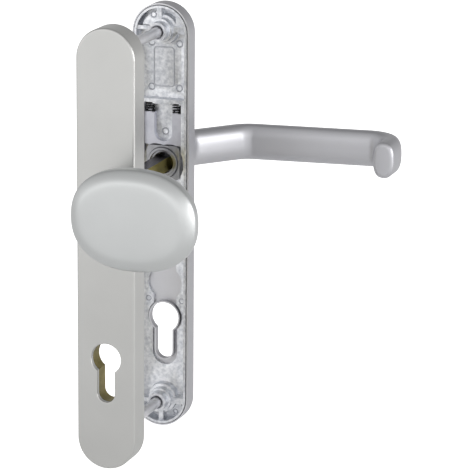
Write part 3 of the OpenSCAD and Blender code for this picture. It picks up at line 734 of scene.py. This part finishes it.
@dataclass
class Mechanism:
    """The casting that is open to the door side, its slide and hub, and the springs of the slide.

    Attributes:
        spring_d, wire: outside diameter of a spring, and of its wire.
        spring_x, spring_y, spring_z: the springs' axes and their lower ends.
        spring_len: their length at rest.
        slide_stroke: how far the slide presses them; not used.
        active_turns: turns between the two closed ones.
        wire_pitch: rise of a closed turn, as a multiple of the wire.
        casting_edge, hub_edge, slide_edge: rounding of the edges of each.
        ring_places: place across, height and radius of each ejector ring.
        frame_centre, frame_half, frame_corner: the upper panel's raised border.
        ridge: radius of a ring's ridge, which is also the measure of the border.
        ring_sink: how far a ring's middle lies under the skin, in ridges.
        border_lift, border_width, border_depth, border_edge: the border's place above the skin, its
            section and the rounding of its edges, in ridges.
    """

    spring_d: float = 5.3
    wire: float = 0.75
    spring_x: float = 8.0
    spring_y: float = 73.6
    spring_z: float = 29.0
    spring_len: float = 7.6
    slide_stroke: float = 2.8
    active_turns: float = 3.6
    wire_pitch: float = 1.03
    casting_edge: float = 0.3
    hub_edge: float = 0.2
    slide_edge: float = 0.12
    ring_places: tuple[tuple[float, float, float], ...] = (
        (8.3, 68.5, 1.8), (-8.3, 68.5, 1.8), (8.3, 43.0, 1.8), (-8.3, 43.0, 1.8), (10.2, -82.0, 1.5),
        (-10.2, -82.0, 1.5), (0.0, 17.6, 1.8), (-5.0, 85.5, 1.6), (7.6, -148.0, 1.3))
    frame_centre: tuple[float, float] = (-0.8, 54.9)
    frame_half: tuple[float, float] = (6.4, 11.6)
    frame_corner: float = 2.0
    ridge: float = 0.4
    ring_sink: float = 0.3
    border_lift: float = 0.7
    border_width: float = 2.0
    border_depth: float = 1.5
    border_edge: float = 0.4

    def ring_ridge(self, bm: bmesh.types.BMesh, centre: Vector, radius: float) -> None:
        """Add a low round ridge, the edge of an ejector pin.

        Args:
            bm: the mesh to add to.
            centre: of the ring, in metres.
            radius: of the ring, in millimetres.
        """
        start = centre + Vector((radius, 0, 0)) * MM
        made = bmesh.ops.create_circle(
            bm, segments=10, radius=self.ridge * MM, matrix=Matrix.Translation(start))["verts"]
        edges = list({edge for vert in made for edge in vert.link_edges})
        bmesh.ops.spin(
            bm, geom=edges, cent=centre, axis=Axis.Y.value, angle=math.tau, steps=48, use_merge=True,
            use_duplicate=False)

    def panel_border(self, depth: float) -> bpy.types.Object:
        """The raised border of the upper panel, a flat strip with round corners.

        Args:
            depth: of the panel's face, in metres.

        Returns:
            The border.
        """
        bm = bmesh.new()
        x, z = self.frame_centre
        centre = Vector((x * MM, depth - self.border_lift * self.ridge * MM, z * MM))
        flat = Matrix.Translation(centre) @ Matrix.Rotation(math.pi / 2, 4, "X")
        bmesh.ops.create_grid(bm, x_segments=1, y_segments=1, size=MM, matrix=flat)
        size = Vector((self.frame_half[0], 1, self.frame_half[1]))
        bmesh.ops.scale(bm, vec=size, space=Matrix.Translation(-centre), verts=bm.verts)
        bmesh.ops.bevel(
            bm, geom=bm.verts, offset=self.frame_corner * MM, offset_type="OFFSET", segments=6,
            profile=0.5, affect="VERTICES", material=-1)
        inside = list(bm.faces)
        bmesh.ops.inset_region(
            bm, faces=inside, thickness=self.border_width * self.ridge * MM, use_even_offset=True,
            use_boundary=True)
        bmesh.ops.delete(bm, geom=inside, context="FACES")
        bmesh.ops.solidify(bm, geom=bm.faces, thickness=self.border_depth * self.ridge * MM)
        bmesh.ops.recalc_face_normals(bm, faces=bm.faces)
        bmesh.ops.bevel(
            bm, geom=sharp_edges(bm, 60), offset=self.border_edge * self.ridge * MM, offset_type="OFFSET",
            segments=2, profile=0.5, affect="EDGES", clamp_overlap=True, material=-1)
        return new_object("panel_border", bm)

    def cast_marks(self, casting: bpy.types.Object, material: bpy.types.Material) -> None:
        """Rings of the ejector pins, and the raised border of the upper panel.

        Args:
            casting: the dressed casting that carries them.
            material: their finish, painted darker as painted shade.
        """
        source = bmesh.new()
        source.from_mesh(casting.data)
        tree = BVHTree.FromBMesh(source)
        source.free()
        bm = bmesh.new()
        for x, z, radius in self.ring_places:
            hit = tree.ray_cast(Vector((x + radius, 0, z)) * MM, Axis.Y.value)[0]
            self.ring_ridge(bm, Vector((x, hit.y / MM + self.ring_sink * self.ridge, z)) * MM, radius)
        bmesh.ops.remove_doubles(bm, verts=bm.verts, dist=0.001 * MM)
        bmesh.ops.recalc_face_normals(bm, faces=bm.faces)
        settle(new_object("ejector_rings", bm), material, Slot.CASTING, Body.SET)
        edge = Vector((self.frame_centre[0], 0, self.frame_centre[1])) * MM
        depth = tree.ray_cast(edge, Axis.Y.value)[0].y
        settle(self.panel_border(depth), material, Slot.CASTING, Body.SET)

    def spring(self, side: int, node: str, material: bpy.types.Material) -> None:
        """A wound spring whose end turns are closed.

        Args:
            side: -1 for the left one, 1 for the right one.
            node: the CAD node that it stands for.
            material: its finish.
        """
        bm = bmesh.new()
        radius = (self.spring_d - self.wire) / 2
        axis = Vector((side * self.spring_x, self.spring_y, self.spring_z)) * MM
        start = axis + Vector((radius, 0, self.wire / 2)) * MM
        bmesh.ops.create_circle(
            bm, segments=14, radius=self.wire / 2 * MM,
            matrix=Matrix.Translation(start) @ Matrix.Rotation(math.pi / 2, 4, "X"))
        edges = list(bm.edges)
        bmesh.ops.contextual_create(bm, geom=edges)
        closed_rise = self.wire_pitch * self.wire
        open_rise = self.spring_len - self.wire - 2 * closed_rise
        for turns, rise in ((1.0, closed_rise), (self.active_turns, open_rise), (1.0, closed_rise)):
            steps = round(40 * turns)
            spun = bmesh.ops.spin(
                bm, geom=edges, cent=axis, axis=Axis.Z.value, dvec=Vector((0, 0, rise / steps)) * MM,
                angle=math.tau * turns, steps=steps, use_merge=False, use_duplicate=False)
            edges = [g for g in spun["geom_last"] if isinstance(g, bmesh.types.BMEdge)]
        bmesh.ops.contextual_create(bm, geom=edges)
        bmesh.ops.recalc_face_normals(bm, faces=bm.faces)
        piece = new_object(node + "_dressed", bm, 60)
        settle(piece, material, Slot.SPRING, Body.SET, [node])
        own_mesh(piece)

    def build(self, paint: Paint) -> None:
        """Make the casting with its marks, the slide, the hub and both springs."""
        casting = softened_copy("inner_base", self.casting_edge, joined=False)
        settle(casting, paint.cast_zinc, Slot.CASTING, Body.SET, ["inner_base"])
        self.cast_marks(casting, paint.cast_line_shade)
        slide = softened_copy("return_slide", self.slide_edge)
        settle(slide, paint.tumbled, Slot.CASTING, Body.SLIDE, ["return_slide"])
        hub = softened_copy("hub", self.hub_edge)
        settle(hub, paint.hub_zinc_and_shade, Slot.CASTING, Body.LEVER, ["hub"])
        self.spring(-1, "left_spring", paint.black)
        self.spring(1, "right_spring", paint.black)


# ------------------------------------------------------------------ stage


@dataclass
class Camera:
    """A long lens that looks from the right and a little from above.

    Attributes:
        azimuth, elevation, roll: in degrees.
        distance: from the target, in millimetres.
        focal_px: focal length as a number of the picture's pixels.
        target: the point in the picture's middle.
        sensor_mm: width of the sensor.
    """

    azimuth: float = 19.5
    elevation: float = 14.57
    roll: float = 0.48
    distance: float = 1604.93
    focal_px: float = 2891.38
    target: tuple[float, float, float] = (55.41, 40.0, -29.37)
    sensor_mm: float = 36.0

    def place(self) -> None:
        """Make the camera and look through it."""
        a, e, r = (math.radians(v) for v in (self.azimuth, self.elevation, self.roll))
        back = Vector((math.sin(a) * math.cos(e), -math.cos(a) * math.cos(e), math.sin(e)))
        right = Vector((math.cos(a), math.sin(a), 0))
        up = back.cross(right)
        rolled_right = right * math.cos(r) + up * math.sin(r)
        rolled_up = up * math.cos(r) - right * math.sin(r)
        data = bpy.data.cameras.new("camera")
        data.sensor_width = self.sensor_mm
        data.lens = self.focal_px / IMAGE_SIDE * self.sensor_mm
        data.clip_start = 0.05
        data.clip_end = 50.0
        obj = bpy.data.objects.new("camera", data)
        bpy.context.scene.collection.objects.link(obj)
        spot = (Vector(self.target) + back * self.distance) * MM
        obj.matrix_world = Matrix.Translation(spot) @ Matrix(
            (rolled_right, rolled_up, back)).transposed().to_4x4()
        bpy.context.scene.camera = obj


@dataclass
class SoftBox:
    """A flat lamp that points at the object.

    Attributes:
        name: the lamp's name.
        place: its centre in metres.
        size: its width and height in metres.
        watts: its power.
    """

    name: str
    place: tuple[float, float, float]
    size: tuple[float, float]
    watts: float

    def hang(self, target: Vector) -> None:
        """Make the lamp and turn it towards a point."""
        data = bpy.data.lights.new(self.name, "AREA")
        data.shape = "RECTANGLE"
        data.size, data.size_y = self.size
        data.energy = self.watts
        obj = bpy.data.objects.new(self.name, data)
        bpy.context.scene.collection.objects.link(obj)
        spot = Vector(self.place)
        turn = (spot - target).to_track_quat("Z", "Y").to_matrix().to_4x4()
        obj.matrix_world = Matrix.Translation(spot) @ turn


@dataclass
class Studio:
    """A pale room: a white floor and bright front, a dimmer ceiling and back, and one soft box.

    Attributes:
        floor_radius: in metres.
        floor_gap: how far the floor lies under the set, in millimetres.
        wall: strength of the pale walls.
        ceiling: strength straight overhead.
        behind: factor on both, behind the set.
        front: factor on both, in front of the set.
        floor_lift: glow of the floor behind the set's outside face, and well in front of it.
        floor_lift_y: how far in front of that face the second one is reached, in metres.
        camera_lift: what the camera sees beyond that, which keeps the floor white.
        lamps: the soft boxes.
    """

    floor_radius: float = 6.0
    floor_gap: float = 0.3
    wall: float = 1.0
    ceiling: float = 0.55
    behind: float = 0.62
    front: float = 1.42
    floor_lift: tuple[float, float] = (0.24, 0.66)
    floor_lift_y: float = 1.4
    camera_lift: float = 0.3
    lamps: tuple[SoftBox, ...] = (
        SoftBox("right", (1.9, -0.1, 0.25), (1.5, 0.8), 13),
    )

    def floor(self) -> None:
        """A round white floor that keeps the set's shadow. Its glow shows to the camera and in the
        metal, and lights nothing.
        """
        bm = bmesh.new()
        low = CAD_BOX[0].z - self.floor_gap * MM
        bmesh.ops.create_circle(
            bm, cap_ends=True, segments=96, radius=self.floor_radius, matrix=Matrix.Translation((0, 0, low)))
        obj = new_object("floor", bm)
        made = bpy.data.materials.new("white studio floor")
        made.use_nodes = True
        tree = made.node_tree
        tree.nodes.clear()
        matt = add_node(tree, "ShaderNodeBsdfDiffuse", inputs={"Color": linear("E8E8E8")})
        way = add_node(tree, "ShaderNodeSeparateXYZ", inputs={
            0: add_node(tree, "ShaderNodeTexCoord").outputs["Object"]}).outputs
        ahead = add_node(tree, "ShaderNodeMapRange", {"interpolation_type": "SMOOTHSTEP"}, {
            "Value": way["Y"], "From Min": 0.0, "From Max": -self.floor_lift_y,
            "To Min": self.floor_lift[0], "To Max": self.floor_lift[1]})
        camera = add_node(tree, "ShaderNodeLightPath").outputs["Is Camera Ray"]
        strength = add_node(tree, "ShaderNodeMath", {"operation": "MAXIMUM"}, {
            0: add_node(tree, "ShaderNodeMath", {"operation": "MULTIPLY"}, {
                0: camera, 1: self.camera_lift + self.floor_lift[1]}).outputs["Value"],
            1: ahead.outputs["Result"]})
        lift = add_node(tree, "ShaderNodeEmission", inputs={
            "Color": linear("FFFFFF"), "Strength": strength.outputs["Value"]})
        both = add_node(tree, "ShaderNodeAddShader", inputs={
            0: matt.outputs["BSDF"], 1: lift.outputs["Emission"]})
        shown = add_node(tree, "ShaderNodeMixShader", inputs={
            "Fac": self.seen(tree), 1: matt.outputs["BSDF"], 2: both.outputs["Shader"]})
        add_node(tree, "ShaderNodeOutputMaterial", inputs={"Surface": shown.outputs["Shader"]})
        dress(obj, made)

    def seen(self, tree: bpy.types.NodeTree) -> bpy.types.NodeSocket:
        """Tell the rays of the camera, of reflections and of glass from those that light the set."""
        paths = add_node(tree, "ShaderNodeLightPath").outputs
        first = add_node(tree, "ShaderNodeMath", {"operation": "MAXIMUM"}, {
            0: paths["Is Camera Ray"], 1: paths["Is Glossy Ray"]})
        return add_node(tree, "ShaderNodeMath", {"operation": "MAXIMUM"}, {
            0: first.outputs["Value"], 1: paths["Is Transmission Ray"]}).outputs["Value"]

    def room(self, tree: bpy.types.NodeTree) -> bpy.types.NodeSocket:
        """Strength of the room's light by direction, from its front, back, walls and ceiling."""
        way = add_node(tree, "ShaderNodeSeparateXYZ", inputs={
            0: add_node(tree, "ShaderNodeTexCoord").outputs["Generated"]}).outputs
        up = add_node(tree, "ShaderNodeMapRange", {"interpolation_type": "SMOOTHSTEP"}, {
            "Value": way["Z"], "From Min": 0.1, "From Max": 0.75,
            "To Min": self.wall, "To Max": self.ceiling})
        back = add_node(tree, "ShaderNodeMapRange", {"interpolation_type": "SMOOTHSTEP"}, {
            "Value": way["Y"], "From Min": -0.8, "From Max": 0.6,
            "To Min": self.front, "To Max": self.behind})
        return add_node(tree, "ShaderNodeMath", {"operation": "MULTIPLY"}, {
            0: up.outputs["Result"], 1: back.outputs["Result"]}).outputs["Value"]

    def world(self) -> None:
        """The room's light, which the camera sees as plain white."""
        world = bpy.data.worlds.new("pale room")
        bpy.context.scene.world = world
        world.use_nodes = True
        tree = world.node_tree
        tree.nodes.clear()
        paths = add_node(tree, "ShaderNodeLightPath").outputs
        day = add_node(tree, "ShaderNodeBackground", inputs={
            "Color": linear("FFFFFF"), "Strength": self.room(tree)})
        white = add_node(tree, "ShaderNodeBackground", inputs={"Color": linear("FFFFFF"), "Strength": 1.0})
        shown = add_node(tree, "ShaderNodeMixShader", inputs={
            "Fac": paths["Is Camera Ray"], 1: day.outputs["Background"], 2: white.outputs["Background"]})
        add_node(tree, "ShaderNodeOutputWorld", inputs={"Surface": shown.outputs["Shader"]})

    def build(self) -> None:
        """Set up the whole studio."""
        self.floor()
        self.world()
        centre = (CAD_BOX[0] + CAD_BOX[1]) / 2
        for lamp in self.lamps:
            lamp.hang(centre)
        bpy.context.scene.view_settings.view_transform = "Standard"


def main() -> None:
    """Build the dressed model."""
    logging.basicConfig(level=logging.INFO, format="%(name)s: %(message)s")
    Camera().place()
    Studio().build()
    paint = Paint()
    paint.carried_over()
    Knob().build(paint.satin_knob)
    Lever().build(paint.satin_lever)
    Mechanism().build(paint)


if __name__ == "__main__":
    main()
